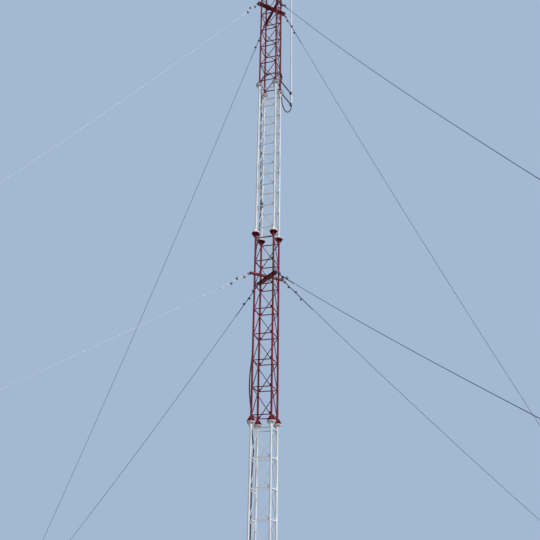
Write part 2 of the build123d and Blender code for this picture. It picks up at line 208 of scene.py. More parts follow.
def skin(count, sides, closed):
    """The faces of a row of rings, which is closed or has its two ends capped."""
    faces = []
    for i in range(count if closed else count - 1):
        j = (i + 1) % count
        for k in range(sides):
            m = (k + 1) % sides
            faces.append((i * sides + k, i * sides + m, j * sides + m, j * sides + k))
    if not closed:
        faces.append(tuple(reversed(range(sides))))
        faces.append(tuple((count - 1) * sides + k for k in range(sides)))
    return faces


def tube(shape, path, radius, sides=12, place=None, closed=False):
    """A round bar along a path. The radius is one number, or one for each point."""
    path = [Vector(p) for p in path]
    count = len(path)
    radii = radius if isinstance(radius, (list, tuple)) else [radius] * count
    points, wraps, travel = [], [], []
    normal = None
    along = 0.0
    for i, p in enumerate(path):
        before = path[i - 1] if i or closed else p
        after = path[(i + 1) % count] if i < count - 1 or closed else p
        tangent = (after - before).normalized()
        if normal is None:
            normal = Vector((0, 0, 1)) if abs(tangent.z) < 0.9 else Vector((1, 0, 0))
        normal = (normal - tangent * normal.dot(tangent)).normalized()
        other = tangent.cross(normal)
        if i:
            along += (p - path[i - 1]).length
        travel.append(along)
        for k in range(sides):
            turn = 2 * math.pi * k / sides
            points.append(p + (normal * math.cos(turn) + other * math.sin(turn)) * radii[i])
    for i in range(count if closed else count - 1):
        j = (i + 1) % count
        end = travel[j] if j else along + (path[0] - path[-1]).length
        for k in range(sides):
            low, high = k / sides, (k + 1) / sides
            wraps.append([(travel[i], low), (travel[i], high), (end, high), (end, low)])
    if not closed:
        wraps += [[(0.0, 0.0)] * sides, [(along, 0.0)] * sides]
    shape.add(points, skin(count, sides, closed), place, wraps)


def turned(shape, profile, sides=24, place=None, closed=False):
    """A solid turned about z from pairs of radius and height, listed upwards on the outside, or a
    ring turned from a closed profile, listed anticlockwise."""
    turns = [2 * math.pi * k / sides for k in range(sides)]
    points = [circle_point(radius, turn, height) for radius, height in profile for turn in turns]
    shape.add(points, skin(len(profile), sides, closed), place)


def slab(shape, outline, thickness, place=None):
    """A flat plate with an outline in x and y, centred on z."""
    count = len(outline)
    half = thickness / 2
    points = [Vector((x, y, z)) for z in (-half, half) for x, y in outline]
    faces = [tuple(reversed(range(count))), tuple(range(count, 2 * count))]
    for i in range(count):
        j = (i + 1) % count
        faces.append((i, j, count + j, count + i))
    shape.add(points, faces, place)


def block(shape, low, high, place=None):
    outline = [(low[0], low[1]), (high[0], low[1]), (high[0], high[1]), (low[0], high[1])]
    lift = lifted((low[2] + high[2]) / 2)
    slab(shape, outline, high[2] - low[2], place @ lift if place else lift)


def hexagon(shape, across, height, place):
    """A nut or bolt head, chamfered at its outer end."""
    corner = across / math.sqrt(3)
    profile = [(corner, 0), (corner, height * 0.84), (corner * 0.88, height)]
    turned(shape, profile, 6, place)


def washer(shape, radius, thickness, place):
    turned(shape, [(radius, 0), (radius, thickness)], 16, place)


def washered_head(shape, bolt, height, place):
    """A bolt head or a nut on its washer, sized from the bolt's diameter."""
    washer(shape, bolt * 0.95, bolt * 0.15, place)
    hexagon(shape, bolt * 1.5, height, place @ lifted(bolt * 0.15))


def stud(shape, radius, length, place):
    """A threaded end, drawn as rings because a true thread is too fine to show."""
    pitch = radius * 0.3
    profile = []
    steps = max(2, int(length / pitch))
    for i in range(steps):
        profile += [(radius * 0.9, i * pitch), (radius, i * pitch + pitch * 0.5)]
    profile.append((radius * 0.8, steps * pitch))
    turned(shape, profile, 12, place)


def arc(centre, radius, begin, end, steps, flat="xy"):
    """Points along part of a circle in one of the local planes."""
    points = []
    for i in range(steps + 1):
        turn = begin + (end - begin) * i / steps
        a, b = radius * math.cos(turn), radius * math.sin(turn)
        step = {"xy": (a, b, 0), "xz": (a, 0, b), "yz": (0, a, b)}[flat]
        points.append(Vector(centre) + Vector(step))
    return points


def soften(piece, width, degrees):
    """Rounds a piece's edges where its faces meet at more than an angle."""
    if width:
        rounding = piece.modifiers.new("edges", "BEVEL")
        rounding.width = width
        rounding.segments = 2
        rounding.limit_method = "ANGLE"
        rounding.angle_limit = math.radians(degrees)


def finished(shape, name, material, bevel=0.0, sharp=35.0):
    """Makes the object of a shape, gives it its finish and lets it ride on the mast."""
    if not shape.faces:
        raise RuntimeError(f"{name} has no faces")
    mesh = bpy.data.meshes.new(name)
    mesh.from_pydata([tuple(p) for p in shape.points], [], shape.faces)
    layer = mesh.uv_layers.new(name="wrap")
    flat = [value for face in shape.wraps for pair in face for value in pair]
    layer.data.foreach_set("uv", flat)
    mesh.shade_smooth()
    mesh.set_sharp_from_angle(angle=math.radians(sharp))
    mesh.materials.append(material)
    mesh.validate()
    piece = bpy.data.objects.new(name, mesh)
    bpy.context.scene.collection.objects.link(piece)
    soften(piece, bevel, 50)
    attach(piece, "root")
    return piece


def dress(node, material, bevel=0.0):
    """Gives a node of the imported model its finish, and softens its edges."""
    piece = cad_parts[node]
    piece.data.materials.clear()
    piece.data.materials.append(material)
    soften(piece, bevel, 40)


# Finishes


def add_node(tree, kind, values=None, links=None, ramp=None, **settings):
    """Adds a node with its settings, its socket values and what is linked into it."""
    node = tree.nodes.new(kind)
    for name, value in settings.items():
        setattr(node, name, value)
    for socket, value in (values or {}).items():
        node.inputs[socket].default_value = value
    for socket, source in (links or {}).items():
        tree.links.new(source, node.inputs[socket])
    if ramp:
        elements = node.color_ramp.elements
        while len(elements) < len(ramp):
            elements.new(0.5)
        for element, (place, colour) in zip(elements, ramp):
            element.position = place
            element.color = colour
    return node


def maths(tree, operation, *terms):
    """The result of a maths node, whose terms are numbers and links."""
    values = {i: term for i, term in enumerate(terms) if isinstance(term, (int, float))}
    links = {i: term for i, term in enumerate(terms) if i not in values}
    return add_node(tree, "ShaderNodeMath", values, links, operation=operation).outputs[0]


def finish(maker, name, *details):
    """The finish with this name, made the first time that it's asked for."""
    return bpy.data.materials.get(name) or maker(name, *details)


def new_finish(name):
    material = bpy.data.materials.new(name)
    material.use_nodes = True
    tree = material.node_tree
    tree.nodes.clear()
    place = add_node(tree, "ShaderNodeTexCoord").outputs["Object"]
    return material, tree, place


def grey(value):
    return (value, value, value, 1.0)


def mixed(tree, factor, first, second):
    node = add_node(tree, "ShaderNodeMix", data_type="RGBA")
    tree.links.new(factor, node.inputs[0])
    for socket, value in ((node.inputs[6], first), (node.inputs[7], second)):
        if isinstance(value, tuple):
            socket.default_value = value
        else:
            tree.links.new(value, socket)
    return node.outputs[2]


def close_finish(tree, colour, film, rough, height, relief, values):
    """Closes a finish with its colour, a roughness that follows a film from one level and value
    to another, and a bump of some strength and depth in metres."""
    ramp = [(level, grey(value)) for level, value in rough]
    worn = add_node(tree, "ShaderNodeValToRGB", None, {"Fac": film}, ramp)
    strength, depth = relief
    bump = add_node(
        tree, "ShaderNodeBump", {"Strength": strength, "Distance": depth}, {"Height": height}
    )
    links = {
        "Base Color": colour, "Roughness": worn.outputs["Color"], "Normal": bump.outputs["Normal"]
    }
    shader = add_node(tree, "ShaderNodeBsdfPrincipled", values, links)
    add_node(tree, "ShaderNodeOutputMaterial", None, {"Surface": shader.outputs["BSDF"]})


def patches(tree, place, size, low, high, detail=4.0, stretch=(1, 1, 1)):
    """Noise with patches of a given size in metres, cut to a soft mask between two levels."""
    spread = add_node(
        tree, "ShaderNodeMapping", {"Scale": tuple(v / size for v in stretch)}, {"Vector": place}
    )
    links = {"Vector": spread.outputs["Vector"]}
    noise = add_node(tree, "ShaderNodeTexNoise", {"Scale": 1.0, "Detail": detail}, links)
    ramp = [(low, grey(0.0)), (high, grey(1.0))]
    cut = add_node(tree, "ShaderNodeValToRGB", None, {"Fac": noise.outputs["Fac"]}, ramp)
    return cut.outputs["Color"], noise.outputs["Fac"]


def weathered_enamel(name, colour, rust):
    """Alkyd enamel brushed onto galvanised steel: a dulled gloss with chalky patches, runs of
    grime down the steel and small rusty chips."""
    material, tree, place = new_finish(name)
    fade, _ = patches(tree, place, 0.9, 0.35, 0.7)
    runs, _ = patches(tree, place, 0.03, 0.48, 0.8, 3.0, (1, 1, 0.05))
    chips, _ = patches(tree, place, 0.016, 0.68, 0.72, 6.0)
    coat = mixed(tree, fade, rgba(colour), rgba(shade(colour, 0.8)))
    grime = mixed(tree, runs, coat, rgba(shade(colour, 0.62)))
    worn = mixed(tree, chips, grime, rgba(rust))
    _, film = patches(tree, place, 0.12, 0.3, 0.7)
    _, brushed = patches(tree, place, 0.004, 0.3, 0.7, 2.0, (1, 1, 0.2))
    values = {"IOR": 1.5, "Specular IOR Level": 0.25}
    rough = ((0.3, 0.45), (0.75, 0.68))
    close_finish(tree, worn, film, rough, brushed, (0.15, 0.001), values)
    return material


def hot_dip_zinc(name, colour):
    """Hot-dip galvanised steel: grey metal with dull crystal patches of a centimetre or so."""
    material, tree, place = new_finish(name)
    cells = add_node(tree, "ShaderNodeTexVoronoi", {"Scale": 1 / 0.012}, {"Vector": place})
    ramp = [(0.0, rgba(shade(colour, 0.72))), (1.0, rgba(shade(colour, 1.12)))]
    crystal = add_node(tree, "ShaderNodeValToRGB", None, {"Fac": cells.outputs["Color"]}, ramp)
    stain, film = patches(tree, place, 0.08, 0.5, 0.75)
    dull = mixed(tree, stain, crystal.outputs["Color"], rgba(shade(colour, 0.55)))
    _, pits = patches(tree, place, 0.003, 0.3, 0.7)
    rough = ((0.3, 0.42), (0.7, 0.66))
    close_finish(tree, dull, film, rough, pits, (0.2, 0.0006), {"Metallic": 0.75})
    return material


def laid_wire(name, colour, groove=0.4):
    """Galvanised steel wire rope: six strands laid round each other, bright on their crowns and
    darker between them. One turn of the lay is 70 mm."""
    material, tree, place = new_finish(name)
    wrap = add_node(tree, "ShaderNodeUVMap", uv_map="wrap").outputs["UV"]
    split = add_node(tree, "ShaderNodeSeparateXYZ", None, {"Vector": wrap})
    lay = maths(tree, "MULTIPLY", split.outputs["X"], 1 / 0.07)
    twist = maths(tree, "ADD", lay, split.outputs["Y"])
    wave = maths(tree, "SINE", maths(tree, "MULTIPLY", twist, 12 * math.pi))
    crown = add_node(tree, "ShaderNodeMapRange", {1: -1.0, 2: 0.5}, {0: wave}).outputs[0]
    strands = mixed(tree, crown, rgba(shade(colour, groove)), rgba(colour))
    stain, film = patches(tree, place, 0.4, 0.45, 0.75)
    dull = mixed(tree, stain, strands, rgba(shade(colour, 0.5 + groove / 2)))
    rough = ((0.3, 0.4), (0.7, 0.55))
    close_finish(tree, dull, film, rough, crown, (0.9, 0.0015), {"Metallic": 0.3})
    return material


def cast_concrete(name, colour):
    """Concrete cast in a timber box: pale and dusty, with sand and stones of 8 mm showing
    faintly, small air holes and a darker band near the ground."""
    material, tree, place = new_finish(name)
    cloud, _ = patches(tree, place, 0.3, 0.3, 0.75)
    stones, grain = patches(tree, place, 0.008, 0.5, 0.62)
    holes, _ = patches(tree, place, 0.014, 0.7, 0.74)
    body = mixed(tree, cloud, rgba(colour), rgba(shade(colour, 0.74)))
    flecks = mixed(tree, stones, body, rgba(shade(colour, 0.86)))
    pitted = mixed(tree, holes, flecks, rgba(shade(colour, 0.35)))
    height = add_node(tree, "ShaderNodeSeparateXYZ", None, {"Vector": place})
    # Darker towards the bottom, over the lowest 0.1 m
    ground_band = add_node(
        tree, "ShaderNodeMapRange", {1: 0.0, 2: 0.1, 3: 0.6, 4: 0.0}, {0: height.outputs["Z"]}
    )
    darker_near_ground = mixed(tree, ground_band.outputs[0], pitted, rgba(shade(colour, 0.5)))
    rough = ((0.3, 0.8), (0.7, 0.95))
    close_finish(tree, darker_near_ground, grain, rough, grain, (0.5, 0.002), {"IOR": 1.5})
    return material


def gelcoat_tube(name, colour):
    """Glass-fibre tube with a white gelcoat: smooth and slightly chalky, with a faint wound
    pattern of 20 mm under the surface."""
    material, tree, place = new_finish(name)
    chalk, film = patches(tree, place, 0.15, 0.4, 0.75)
    body = mixed(tree, chalk, rgba(colour), rgba(shade(colour, 0.88)))
    runs, _ = patches(tree, place, 0.02, 0.55, 0.85, 3.0, (1, 1, 0.06))
    grimy = mixed(tree, runs, body, rgba(shade(colour, 0.7)))
    _, wound = patches(tree, place, 0.02, 0.3, 0.7, 1.0)
    rough = ((0.3, 0.25), (0.7, 0.42))
    close_finish(tree, grimy, film, rough, wound, (0.05, 0.001), {"IOR": 1.53})
    return material


def polyethylene_sheath(name, colour):
    """Extruded black polyethylene: satin, sun-bleached to grey in patches, with fine scuffs."""
    material, tree, place = new_finish(name)
    bleach, film = patches(tree, place, 0.25, 0.4, 0.75)
    body = mixed(tree, bleach, rgba(colour), rgba(shade(colour, 1.7)))
    scuff, scratch = patches(tree, place, 0.004, 0.62, 0.7, 6.0, (1, 1, 0.1))
    worn = mixed(tree, scuff, body, rgba(shade(colour, 2.4)))
    rough = ((0.3, 0.4), (0.7, 0.58))
    close_finish(tree, worn, film, rough, scratch, (0.1, 0.0005), {"IOR": 1.51})
    return material


# What a user would change


class MastSizes(bpy.types.PropertyGroup):
    round_sides: IntProperty(
        name="Round sides", description="Sides of the legs and flanges", default=40
    )
    flange_bolt: FloatProperty(
        name="Flange bolt", description="Bolt diameter at the flange joints",
        default=0.02, unit="LENGTH"
    )
    bolt_ring: FloatProperty(
        name="Bolt ring", description="Radius of the ring of flange bolts",
        default=0.1, unit="LENGTH"
    )
    bolts_per_flange: IntProperty(name="Bolts", description="Bolts in each flange joint", default=8)
    weld: FloatProperty(
        name="Weld", description="Size of the weld beads", default=0.004, unit="LENGTH"
    )
    clip_step: FloatProperty(
        name="Clip spacing", description="Distance between rope clips", default=0.28, unit="LENGTH"
    )
    clip_count: IntProperty(name="Clips", description="Clips on each rope end", default=3)
    clip_rod: FloatProperty(
        name="Clip rod", description="Rod diameter of the clips' bows", default=0.012, unit="LENGTH"
    )


class MastColours(bpy.types.PropertyGroup):
    white: FloatVectorProperty(
        name="White", description="White enamel", subtype="COLOR", default=linear("EEF2F6")
    )
    red: FloatVectorProperty(
        name="Red", description="Red enamel", subtype="COLOR", default=linear("7C1626")
    )
    rust: FloatVectorProperty(
        name="Rust", description="Rust in the chips", subtype="COLOR", default=linear("6B4632")
    )
    zinc: FloatVectorProperty(
        name="Zinc", description="Hot-dip galvanised steel",
        subtype="COLOR", default=linear("A3A8AB")
    )
    old_zinc: FloatVectorProperty(
        name="Weathered zinc", description="Rope fittings",
        subtype="COLOR", default=linear("3E343B")
    )
    wire: FloatVectorProperty(
        name="Greased wire", description="Most of the ropes",
        subtype="COLOR", default=linear("3C4149")
    )
    # Painted light: a lighter copy of the rope colour for the two front left ropes, as if the sun
    # lit them
    sunlit_painted_wire: FloatVectorProperty(
        name="Sunlit painted wire", description="The two front left ropes",
        subtype="COLOR", default=linear("D8DDE3")
    )
    concrete: FloatVectorProperty(
        name="Concrete", description="Concrete", subtype="COLOR", default=linear("B4B0A6")
    )
    gelcoat: FloatVectorProperty(
        name="Gelcoat", description="Aerial tube", subtype="COLOR", default=linear("E6ECF3")
    )
    sheath: FloatVectorProperty(
        name="Sheath", description="Feeder sheath", subtype="COLOR", default=linear("24262A")
    )
    dark: FloatVectorProperty(
        name="Dark steel", description="Aerial arms", subtype="COLOR", default=linear("4A545D")
    )
    backdrop: FloatVectorProperty(
        name="Backdrop", description="Backdrop behind the mast",
        subtype="COLOR", default=linear("A3B8D2")
    )
    floor: FloatVectorProperty(
        name="Floor", description="Floor", subtype="COLOR", default=linear("D8DADA")
    )


def sizes():
    return bpy.context.scene.mast_sizes


def colours():
    return bpy.context.scene.mast_colours


def section_finish(number):
    """The finish and the slot of a section: the bands go white, red, white, red from the foot."""
    tones = colours()
    if number % 2:
        return finish(weathered_enamel, "white_enamel", tones.white, tones.rust), "white_paint"
    dark = shade(tones.red, 0.45)
    return finish(weathered_enamel, "red_enamel", tones.red, dark), "red_paint"


def zinc():
    return finish(hot_dip_zinc, "hot_dip_zinc", colours().zinc)


def old_zinc():
    return finish(hot_dip_zinc, "weathered_zinc", colours().old_zinc)


# Rope lines


def bracket_end(corner):
    x, y = CORNERS[corner]
    return circle_point(BEAM_REACH, math.atan2(y, x))


def anchor_stand(corner):
    centre = circle_point(ANCHOR_DISTANCE[corner], math.radians(ANCHOR_BEARING[corner]))
    return centre, (centre - bracket_end(corner)).normalized()


def guy_ends(level, corner):
    _, height, tilt, _ = GUY_BEAMS[f"{level}_guy_beam_{CORNER_BEAMS[corner]}"]
    rise = math.copysign(BEAM_REACH * math.tan(math.radians(tilt)), CORNERS[corner][0])
    top = bracket_end(corner) + Vector((0, 0, height + rise))
    centre, outward = anchor_stand(corner)
    hole = ANCHOR_HOLES[level]
    return top, centre + outward * hole[0] + Vector((0, 0, BLOCK_HEIGHT + hole[1]))


def guy_line(level, corner):
    """A guy's two ends, the directions in which it leaves them, its level side and its slope."""
    top, foot = guy_ends(level, corner)
    chord = (foot - top).normalized()
    side = Vector((0, 0, 1)).cross(chord).normalized()
    rise = chord.cross(side)
    slope = 2 * math.atan(2 * SAG_RATIO)
    run_top = chord * math.cos(slope) - rise * math.sin(slope)
    run_foot = chord * math.cos(slope) + rise * math.sin(slope)
    return top, foot, run_top, run_foot, side, slope


SHACKLE_SHIFT = SHACKLE_INNER / 2 - BRACKET_PIN / 2 - TOUCH
SHACKLE_PIN = SHACKLE_LENGTH - SHACKLE_ROD / 2 - 0.004
EYE_CENTRE = SHACKLE_SHIFT + SHACKLE_PIN - SHACKLE_ROD / 2 - TOUCH + THIMBLE_RADIUS - ROPE / 2
ROPE_STEP = (ROPE + TOUCH) / 2
SPLIT_PIN = 0.0016
FIRST_CLIP = 0.19
DOUBLED_FROM = FIRST_CLIP - 0.03
TWISTED_AT = THROAT + 0.035


def rope_frames(level, corner):
    """The frames of a guy's two eyes: x runs from the eye along the rope, y is level."""
    top, foot, run_top, run_foot, side, _ = guy_line(level, corner)
    head = axes(top + run_top * EYE_CENTRE, run_top, run_top.cross(side))
    tail = axes(foot - run_foot * TURNBUCKLE_LENGTH, -run_foot, (-run_foot).cross(side))
    return head, tail


def eye_points():
    """The rope's line round its eye. Past the throat its tail turns to lie below it."""
    angle = math.acos(THIMBLE_RADIUS / THROAT)
    lean = ROPE_STEP * math.sqrt(0.5)
    points = [Vector((x, 0, -ROPE_STEP)) for x in (TAIL, TAIL / 2, DOUBLED_FROM)]
    points += [Vector((TWISTED_AT, lean, -lean)), Vector((THROAT, ROPE_STEP, 0))]
    points += arc((0, 0, 0), THIMBLE_RADIUS, angle, 2 * math.pi - angle, 20)
    points += [Vector((THROAT, -ROPE_STEP, 0)), Vector((TWISTED_AT, -lean, lean))]
    return points + [Vector((DOUBLED_FROM, 0, ROPE_STEP))]


def rope_path(level, corner):
    """The line of a whole rope: one eye, the sagging run and the other eye."""
    top, foot, run_top, _, side, slope = guy_line(level, corner)
    head, tail = rope_frames(level, corner)
    bend_from = TURNBUCKLE_LENGTH + THROAT
    reach = (foot - top).length / 2 / math.cos(slope)
    radius = (reach - bend_from) / math.tan(slope)
    up = run_top.cross(side)
    start = top + run_top * bend_from + up * ROPE_STEP
    points = [head @ p for p in eye_points()]
    for i in range(25):
        turn = 2 * slope * i / 24
        ahead, rise = radius * math.sin(turn), radius * (1 - math.cos(turn))
        points.append(start + run_top * ahead + up * rise)
    points += [tail @ Vector((p.x, p.y, -p.z)) for p in reversed(eye_points())]
    return points


def each_guy():
    return [(level, corner) for level in ANCHOR_HOLES for corner in CORNERS]


# Pieces


def weld_ring(shape, radius, size, place, beads=36):
    """A fillet weld round a tube, with the ripple of its beads."""
    turns = [2 * math.pi * i / beads for i in range(beads)]
    radii = [size * (1.0 + 0.16 * math.sin(turn * 11)) for turn in turns]
    tube(shape, [circle_point(radius, turn) for turn in turns], radii, 6, place, True)


def weld_run(shape, start, end, size, place=None):
    """A straight fillet weld with rippled beads."""
    start, end = Vector(start), Vector(end)
    steps = max(3, int((end - start).length / 0.012))
    path = [start.lerp(end, i / steps) for i in range(steps + 1)]
    radii = [size * (1.0 + 0.2 * (i % 2)) for i in range(steps + 1)]
    tube(shape, path, radii, 6, place)


def weld_frame(shape, x, height, half_width, half_height, size, place):
    """A weld round the end of a bar that meets a leg."""
    corners = ((-1, -1), (1, -1), (1, 1), (-1, 1))
    path = [(x, y * half_width, height + z * half_height) for y, z in corners]
    tube(shape, path, size, 6, place, True)


def leg_shape(shape, x, y, foot):
    """One leg of a section: pipe, a flange at each end and four gussets on each flange."""
    size = sizes()
    place = at(x, y, foot)
    sides = size.round_sides
    low = FLANGE_THICKNESS / 2
    turned(shape, [(LEG_RADIUS, low), (LEG_RADIUS, SECTION - low)], sides, place)
    edge = 0.0015
    profile = [
        (FLANGE_RADIUS - edge, 0),
        (FLANGE_RADIUS, edge),
        (FLANGE_RADIUS, FLANGE_THICKNESS - edge),
        (FLANGE_RADIUS - edge, FLANGE_THICKNESS),
    ]
    reach = FLANGE_RADIUS - 0.005
    inner = LEG_RADIUS - 0.002
    outline = [(inner, 0), (reach, 0), (reach, GUSSET_TOE), (LEG_RADIUS + 0.012, GUSSET_HEIGHT)]
    outline += [(inner, GUSSET_HEIGHT)]
    flip = lifted(SECTION) @ Matrix.Diagonal((1, -1, -1, 1))
    z = FLANGE_THICKNESS
    top = z + GUSSET_HEIGHT - 0.004
    weld = size.weld * 0.8
    for end in (Matrix.Identity(4), flip):
        turned(shape, profile, sides, place @ end)
        weld_ring(shape, LEG_RADIUS + 0.001, size.weld, place @ end @ lifted(z))
        for quarter in range(4):
            spot = place @ end @ spun(90 * quarter)
            slab(shape, outline, GUSSET_THICKNESS, spot @ lifted(z) @ spun(90, "X"))
            for y in (-GUSSET_THICKNESS / 2, GUSSET_THICKNESS / 2):
                weld_run(shape, (LEG_RADIUS, y, z + 0.004), (LEG_RADIUS, y, top), weld, spot)
                weld_run(shape, (LEG_RADIUS + 0.004, y, z), (reach - 0.006, y, z), weld, spot)


def flange_fasteners(shape, x, y, height, upward, with_stud=False):
    """The bolt heads or the nuts on one side of a flange joint."""
    size = sizes()
    bolt = size.flange_bolt
    step = 2 * math.pi / size.bolts_per_flange
    for i in range(size.bolts_per_flange):
        turn = step * (i + 0.5)
        spot = (x + size.bolt_ring * math.cos(turn), y + size.bolt_ring * math.sin(turn), height)
        place = standing(spot, (0, 0, upward))
        washered_head(shape, bolt, bolt * 0.8, place)
        if with_stud:
            stud(shape, bolt / 2, bolt * 0.4, place @ lifted(bolt * 0.95))


class MAST_OT_legs(bpy.types.Operator):
    """Makes the four flanged pipe legs of each section, with their welds, gussets and bolts"""

    bl_idname = "mast.legs"
    bl_label = "Section legs"

    def execute(self, context):
        for number in range(1, SECTION_COUNT + 1):
            material, slot = section_finish(number)
            foot = FIRST_JOINT + SECTION * (number - 1)
            shape = Shape()
            for x, y in CORNERS.values():
                leg_shape(shape, x, y, foot)
                flange_fasteners(shape, x, y, foot + FLANGE_THICKNESS, 1, number == 1)
                if number < SECTION_COUNT:
                    flange_fasteners(shape, x, y, foot + SECTION - FLANGE_THICKNESS, -1, True)
            piece = finished(shape, f"section_{number}_flanged_legs", material)
            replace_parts(piece, f"section_{number}_legs")
        return {"FINISHED"}


class MAST_OT_bracing(bpy.types.Operator):
    """Paints the bracing of every face and adds the welds where it meets the legs"""

    bl_idname = "mast.bracing"
    bl_label = "Bracing"

    def execute(self, context):
        weld = sizes().weld
        half = HALF_FACE - LEG_RADIUS - TOUCH
        edge = BAR / 2
        for number in range(1, SECTION_COUNT + 1):
            material, slot = section_finish(number)
            foot = FIRST_JOINT + SECTION * (number - 1)
            shape = Shape()
            for side, degrees in FACE_TURNS.items():
                dress(f"section_{number}_bracing_{side}", material, 0.0015)
                place = spun(degrees) @ at(0, -HALF_FACE, foot)
                for level in range(PANELS + 1):
                    z = STUB + level * PITCH
                    for end in (-half, half):
                        weld_frame(shape, end, z, edge, edge, weld, place)
                    if level < PANELS:
                        top = z + PITCH - DIAGONAL_DROP
                        weld_frame(shape, -half, top, 0.01, 0.014, weld * 0.8, place)
                        for y in (-0.004, 0.004):
                            low, high = (half, y, z + 0.016), (half, y, z + PLATE_HEIGHT - 0.004)
                            weld_run(shape, low, high, weld * 0.7, place)
            finished(shape, f"section_{number}_welds", material)
        return {"FINISHED"}


def beam_bolt(shape, x, outer, bolt, place):
    """The washers and heads of a bolt through both halves of a guy beam."""
    for side in (-1, 1):
        spot = place @ standing((x, side * outer, 0), (0, side, 0))
        washered_head(shape, bolt, bolt * 0.75, spot)


def beam_places():
    """Each guy beam's name, its frame, half its width and the cosine of its tilt."""
    for name, (bearing, height, tilt, web) in GUY_BEAMS.items():
        place = lifted(height) @ (spun(bearing) @ spun(-tilt, "Y"))
        yield name, place, BEAM_GAP + web, math.cos(math.radians(tilt))


class MAST_OT_brackets(bpy.types.Operator):
    """Paints the crossed guy beams and adds their tie plates, bolts and pin heads"""

    bl_idname = "mast.brackets"
    bl_label = "Guy brackets"

    def execute(self, context):
        material, slot = section_finish(2)
        bolts, plates = Shape(), Shape()
        leg = math.hypot(HALF_FACE, HALF_FACE)
        low, high = -0.032, -0.026
        half = BEAM_GAP - TOUCH
        bolt, bolt_offset = 0.016, 0.055
        for name, place, outer, slant in beam_places():
            dress(name, material, 0.0015)
            for middle in (-leg / slant, leg / slant):
                for x in (middle - bolt_offset, middle + bolt_offset):
                    tube(bolts, [(x, -outer, 0), (x, outer, 0)], bolt / 2, 12, place)
                    beam_bolt(bolts, x, outer, bolt, place)
            for x in (-BEAM_REACH / slant, BEAM_REACH / slant):
                beam_bolt(bolts, x, outer, BRACKET_PIN, place)
            inner = leg / slant - 0.04
            block(plates, (-inner, -half, low), (inner, half, high), place)
            for side in (-1, 1):
                for y in (-half, half):
                    weld_run(plates, (-inner, y, high), (inner, y, high), 0.003, place)
                ends = sorted((side * (inner + 0.08), side * (BEAM_REACH / slant - 0.06)))
                block(plates, (ends[0], -half, low), (ends[1], half, high), place)
        finished(bolts, "bracket_bolts", material)
        finished(plates, "beam_tie_plates", material, 0.001)
        return {"FINISHED"}


class MAST_OT_ropes(bpy.types.Operator):
    """Makes the eight wire rope guys with their eyes and tails"""

    bl_idname = "mast.ropes"
    bl_label = "Wire ropes"

    def execute(self, context):
        tones = colours()
        greased = laid_wire("greased_wire_rope", tones.wire)
        # Painted light: the two front left ropes get the lighter copy of the wire, with lighter
        # grooves, as if the sun lit them
        bright = laid_wire("sunlit_painted_wire_rope", tones.sunlit_painted_wire, 0.75)
        for level, corner in each_guy():
            material = bright if corner == "front_left" else greased
            shape = Shape()
            tube(shape, rope_path(level, corner), ROPE / 2, 12)
            piece = finished(shape, f"{level}_rope_{corner}", material, sharp=60)
            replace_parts(piece, f"{level}_guy_{corner}")
        return {"FINISHED"}


def rope_clip(shape, place, flip):
    """A clip on a doubled rope: a bow round one part, a saddle on the other and two nuts."""
    rod = sizes().clip_rod / 2
    spread = ROPE / 2 + rod + 0.004
    place = place @ spun(90 if flip else -90, "X")
    middle = -ROPE_STEP - ROPE / 2 - rod + spread
    bent = arc((0, middle, 0), spread, math.pi / 2, 1.5 * math.pi, 10, "yz")
    reach = 0.085
    ends = [Vector((0, reach, side * spread)) for side in (1, -1)]
    tube(shape, ends[:1] + bent + ends[1:], rod, 10, place)
    seat = ROPE_STEP + ROPE / 2
    crest = seat + 0.030
    half = [(0.030, seat - 0.004), (0.033, seat + 0.012), (0.019, crest)]
    outline = [(-x, y) for x, y in half[:1]] + half + [(-x, y) for x, y in half[:0:-1]]
    slab(shape, outline, 2 * spread + 0.034, place)
    for z in (-spread, spread):
        spot = place @ standing((0, crest, z), (0, 1, 0))
        hexagon(shape, rod * 3.6, rod * 2.0, spot)


def serving(shape, place):
    """Soft wire wound round both parts of a doubled rope, which keeps its tail from fraying."""
    wire, pitch, start = 0.0016, 0.0035, TAIL - 0.04
    across, along = ROPE / 2 + wire, ROPE_STEP + ROPE / 2 + wire
    turns = [math.pi * k / 8 for k in range(16)]
    for i in range(8):
        x = start + i * pitch
        path = [Vector((x, across * math.cos(t), along * math.sin(t))) for t in turns]
        tube(shape, path, 0.0018, 6, place, True)


class MAST_OT_clips(bpy.types.Operator):
    """Puts the clips on the doubled rope at both ends of every guy"""

    bl_idname = "mast.clips"
    bl_label = "Rope clips"

    def execute(self, context):
        size = sizes()
        for level in ANCHOR_HOLES:
            shape = Shape()
            for number, corner in enumerate(CORNERS):
                for place in rope_frames(level, corner):
                    for i in range(size.clip_count):
                        spot = place @ at(FIRST_CLIP + i * size.clip_step, 0, 0)
                        rope_clip(shape, spot, (i + number) % 2 == 1)
                    serving(shape, place)
            finished(shape, f"{level}_rope_clips", old_zinc(), 0.001)
        return {"FINISHED"}


class MAST_OT_thimbles(bpy.types.Operator):
    """Lines every rope eye with its grooved thimble"""

    bl_idname = "mast.thimbles"
    bl_label = "Thimbles"

    def execute(self, context):
        shape = Shape()
        inner = THIMBLE_RADIUS - ROPE / 2
        angle = math.acos(THIMBLE_RADIUS / THROAT)
        lips = (-ROPE * 0.52, ROPE * 0.52)
        nose = THROAT * 0.86
        path = [Vector((nose, ROPE_STEP * 0.5, 0))]
        path += arc((0, 0, 0), inner - 0.0005, angle, 2 * math.pi - angle, 24)
        path += [Vector((nose, -ROPE_STEP * 0.5, 0))]
        count = len(path)
        points = [Vector((p.x * k, p.y * k, z)) for k in (1, 0.985) for p in path for z in lips]
        faces = []
        for i in range(count - 1):
            a = 2 * i
            b = 2 * count + 2 * i
            faces.append((a, a + 2, a + 3, a + 1))
            faces.append((b + 1, b + 3, b + 2, b))
        for level, corner in each_guy():
            for place in rope_frames(level, corner):
                for lift in lips:
                    tube(shape, [p + Vector((0, 0, lift)) for p in path], 0.0016, 6, place)
                shape.add(points, faces, place)
        finished(shape, "thimbles", old_zinc())
        return {"FINISHED"}


